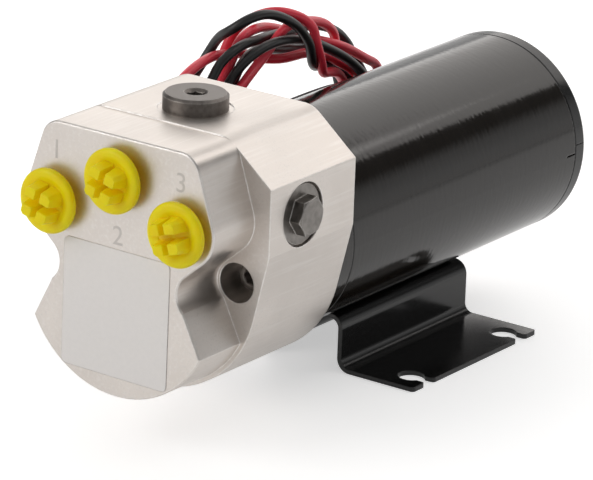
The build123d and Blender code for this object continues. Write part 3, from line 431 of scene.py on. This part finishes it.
# Inner pieces of copper, bronze, brass, ferrite and board, and the rubber seals and
# grommet. Each kind has its own colour, and a mottled skin as wound, pressed or moulded.
inner = {
    "copper": ((0.75, 0.33, 0.16), 1.0, 0.35, ("armature_winding", "commutator")),
    "bronze": (
        (0.62, 0.43, 0.22), 1.0, 0.4,
        ("front_bushes", "rear_bushes", "rear_bush", "brush_boxes"),
    ),
    "ferrite": ((0.06, 0.06, 0.065), 0.0, 0.6, ("magnet_left", "magnet_right", "brushes")),
    "laminate_board": ((0.2, 0.1, 0.04), 0.0, 0.55, ("brush_card",)),
    "black_rubber": (
        (0.018, 0.018, 0.019), 0.0, 0.6,
        (
            "chamber_seal", "shaft_seal", "side_plug_seal_left", "side_plug_seal_right",
            "top_plug_seal", "lead_grommet",
        ),
    ),
}
for name, (colour, metal, rough, nodes_of_it) in inner.items():
    material, nodes, links, shader = new_material(name)
    shader.inputs["Metallic"].default_value = metal
    mottle = object_noise(nodes, links, 350, 3)
    links.new(
        tint(nodes, links, spread(nodes, links, mottle, 0, 1), [0.8 * c for c in colour], colour),
        shader.inputs["Base Color"],
    )
    links.new(spread(nodes, links, mottle, rough - 0.06, rough + 0.08), shader.inputs["Roughness"])
    bump(nodes, links, shader, object_noise(nodes, links, 900, 2), 0.15, 0.00004)
    for node_name in nodes_of_it:
        finish_node(node_name, material)

# Leads: two PVC-covered wires that leave the motor behind the block, run back along its
# shoulder, round a bend, hook up over the bundle and go three times round in it. Places are
# in millimetres here.
lead_d = 0.0032
lead_start = -58.2
lane_r = 35.4


def lane(angle, y, rise=0.0):
    """Point of a lead that lies along the tube's shoulder."""
    reach = lane_r + rise
    return (
        reach * math.cos(math.radians(angle)), y,
        1000 * axis_z + reach * math.sin(math.radians(angle)),
    )


# The bundle stands on edge beside the motor. Its middle line is a rounded oblong, and six
# strands lie round that, a small way off it.
bundle_centre = (-39.3, 1.0, 47.0)
bundle_half = (59.5, 39.9)
bundle_corner = 38.5
strand_offset = 3.8
low_points = 14
low_from = 0.06
low_share = 0.56


def bundle_point(share, outward, inward_x):
    """Point of the bundle a share of a turn on from its front top corner, going down first."""
    half_y, half_z = bundle_half
    straight_y = half_y - bundle_corner
    straight_z = half_z - bundle_corner
    quarter = math.pi / 2 * bundle_corner
    legs = [
        quarter / 2, 2 * straight_z, quarter, 2 * straight_y, quarter, 2 * straight_z,
        quarter, 2 * straight_y, quarter / 2,
    ]
    way = (share % 1) * sum(legs)
    angle = math.radians(135)
    y, z = -straight_y, straight_z
    for number, leg in enumerate(legs):
        part = min(way, leg)
        if number % 2 == 0:
            angle += part / bundle_corner
        else:
            y += part * math.cos(angle + math.pi / 2)
            z += part * math.sin(angle + math.pi / 2)
        way -= part
        if way <= 0:
            break
    reach = bundle_corner + outward
    return (
        bundle_centre[0] + inward_x, bundle_centre[1] + y + reach * math.cos(angle),
        bundle_centre[2] + z + reach * math.sin(angle),
    )


def low_turn(phase):
    """A strand's way down the front of the bundle, under it and up its back, with a slow twist."""
    points = []
    for step in range(low_points):
        part = step / (low_points - 1)
        angle = math.radians(phase + 360 * part)
        outward = strand_offset * math.cos(angle)
        inward_x = strand_offset * math.sin(angle)
        points.append(bundle_point(low_from + low_share * part, outward, inward_x))
    return points


black_route = [
    lane(146, lead_start), lane(146, -35.0, 0.2), lane(146, -12.0, 0.7), lane(146, 8.0, 0.9),
    lane(146, 21, 0.4), (-30.5, 30.0, 68.5), (-32.0, 38.0, 65.5), (-37.0, 43.0, 64.5),
    (-42.5, 43.0, 67.5), (-43.5, 39.5, 71.0), (-41.0, 29.5, 74.5), (-38.5, 22.0, 76.5),
    (-33.0, 11.0, 80.0), (-31.5, 7.5, 86.5), (-31.5, 6.0, 90.0), (-32.0, -0.5, 97.0),
    (-34.0, -11.5, 102.5), (-36.5, -19.0, 102.0), (-41.5, -23.0, 97.5), (-47.5, -20.5, 94.0),
    (-51.5, -19.5, 88.5), (-52.5, -24.0, 83.0), (-51.0, -32.0, 79.5), (-47.5, -40.0, 76.5),
]
black_route += low_turn(-60)
black_route += [
    (-44.0, 57.0, 64.0), (-45.0, 50.0, 74.0), (-44.5, 47.0, 77.5), (-45.0, 40.5, 83.5),
    (-44.0, 27.0, 88.5), (-43.0, 17.5, 89.5), (-41.5, 7.5, 90.5), (-41.0, -1.5, 91.5),
    (-39.0, -11.5, 92.5), (-38.5, -20.0, 93.0), (-39.0, -27.0, 91.0), (-40.5, -32.0, 86.5),
]
black_route += low_turn(60)
black_route += [
    (-36.0, 52.5, 61.5), (-35.0, 40.5, 72.0), (-34.5, 32.5, 77.5), (-35.0, 24.5, 82.0),
    (-36.0, 13.5, 87.5), (-35.0, 3.0, 90.5), (-34.0, -6.0, 92.0), (-34.0, -14.0, 92.0),
    (-35.0, -20.0, 90.0), (-36.5, -24.5, 86.5), (-38.5, -27.0, 81.5),
]
black_route += low_turn(180)
black_route += [
    (-41.0, 49.5, 57.0), (-45.5, 45.0, 61.5), (-48.5, 46.5, 67.5), (-49.0, 45.5, 74.0),
    (-48.0, 35.5, 78.5), (-46.5, 26.0, 80.5), (-45.0, 17.0, 82.0), (-44.0, 7.5, 84.0),
    (-42.5, -3.5, 87.5), (-42.0, -11.0, 87.5), (-40.0, -18.0, 86.0), (-39.5, -21.5, 83.5),
    (-39.5, -24.0, 79.5),
]
red_route = [
    lane(153, lead_start), lane(153, -33.0), lane(153, -8.0, 0.2), lane(153, 14.0, 0.6),
    (-32.5, 25.5, 64.5), (-33.0, 34.0, 61.0), (-36.5, 41.5, 60.0), (-40.5, 40.5, 65.5),
    (-38.5, 33.5, 72.0), (-36.0, 24.0, 74.5), (-32.5, 16.0, 76.5), (-31.5, 13.5, 82.0),
    (-31.5, 11.0, 87.0), (-32.5, 9.5, 95.0), (-37.0, 0.5, 100.0), (-43.5, -4.5, 99.0),
    (-49.5, -8.5, 94.0), (-51.0, -12.5, 87.5), (-49.0, -18.5, 80.5), (-45.0, -28.0, 75.5),
]
red_route += low_turn(-120)
red_route += [
    (-44.0, 51.0, 62.5), (-45.0, 49.5, 67.5), (-45.5, 44.5, 72.0), (-43.5, 38.5, 78.0),
    (-41.5, 35.0, 84.0), (-41.0, 29.5, 88.5), (-40.0, 20.5, 92.0), (-38.5, 8.0, 94.0),
    (-37.5, 1.0, 94.0), (-37.5, -4.0, 91.0), (-37.5, -8.5, 87.5), (-36.5, -17.0, 84.0),
    (-35.5, -24.5, 80.5),
]
red_route += low_turn(120)
red_route += [
    (-40.5, 50.5, 61.0), (-39.0, 47.0, 68.5), (-39.0, 36.0, 74.0), (-40.0, 27.5, 79.0),
    (-40.0, 16.5, 82.0), (-39.5, 9.0, 82.5), (-39.5, 3.0, 83.0), (-41.0, -1.0, 83.5),
    (-44.5, -3.0, 83.5), (-46.5, -7.0, 85.5), (-46.5, -13.0, 87.0), (-46.0, -19.0, 88.0),
    (-45.0, -26.5, 89.5), (-43.0, -36.5, 89.5), (-42.0, -44.5, 88.0), (-41.5, -51.0, 85.0),
]
red_route += low_turn(0)
red_route += [
    (-40.5, 62.0, 60.0), (-40.5, 59.0, 68.5), (-40.0, 51.5, 72.0), (-39.5, 41.5, 77.5),
    (-39.0, 32.5, 81.5), (-40.5, 26.5, 83.5), (-44.0, 22.0, 85.0), (-46.0, 16.5, 87.5),
    (-46.0, 7.5, 91.0), (-44.0, -2.5, 94.0), (-42.5, -12.5, 94.5), (-42.5, -17.5, 91.5),
    (-43.0, -19.0, 87.0), (-43.0, -22.5, 83.0), (-42.5, -26.5, 79.5),
]


def lead(name, points, material, cad_nodes):
    """One wire on one smooth curve."""
    data = bpy.data.curves.new(name, "CURVE")
    data.dimensions = "3D"
    data.bevel_depth = lead_d / 2
    data.bevel_resolution = 4
    data.resolution_u = 6
    data.use_fill_caps = True
    spline = data.splines.new("NURBS")
    spline.points.add(len(points) - 1)
    for point, place in zip(spline.points, points):
        point.co = (*[value / 1000 for value in place], 1)
    spline.order_u = 3
    spline.use_endpoint_u = True
    wire = bpy.data.objects.new(name, data)
    bpy.context.collection.objects.link(wire)
    data.materials.append(material)
    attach(wire, "housing")
    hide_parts(*cad_nodes)
    return wire


def pvc(name, dark, light, wear_and_edge_highlight):
    """Soft extruded PVC with a waxy sheen, scuffed here and there."""
    material, nodes, links, shader = new_material(name)
    shade = object_noise(nodes, links, 160, 4)
    scuffs = object_noise(nodes, links, 1200, 4, (1, 0.5, 1))
    colour = tint(nodes, links, spread(nodes, links, shade, 0, 1), dark, light)
    links.new(
        tint(nodes, links, spread(nodes, links, scuffs, 0, 0.6, 0.62, 0.72), colour, wear_and_edge_highlight),
        shader.inputs["Base Color"],
    )
    links.new(spread(nodes, links, shade, 0.3, 0.42), shader.inputs["Roughness"])
    shader.inputs["Subsurface Weight"].default_value = 0.1
    shader.inputs["Subsurface Scale"].default_value = 0.0006
    bump(nodes, links, shader, object_noise(nodes, links, 700, 3), 0.12, 0.00004)
    return material


red_pvc = pvc("red_pvc", (0.76, 0.028, 0.058), (0.88, 0.05, 0.085), (0.5, 0.015, 0.03))
black_pvc = pvc("black_pvc", (0.009, 0.009, 0.0095), (0.016, 0.0155, 0.016), (0.04, 0.04, 0.04))
black_wire = lead("black_lead_wire", black_route, black_pvc, ("black_lead", "lead_coil"))
red_wire = lead("red_lead_wire", red_route, red_pvc, ("red_lead", "lead_coil"))
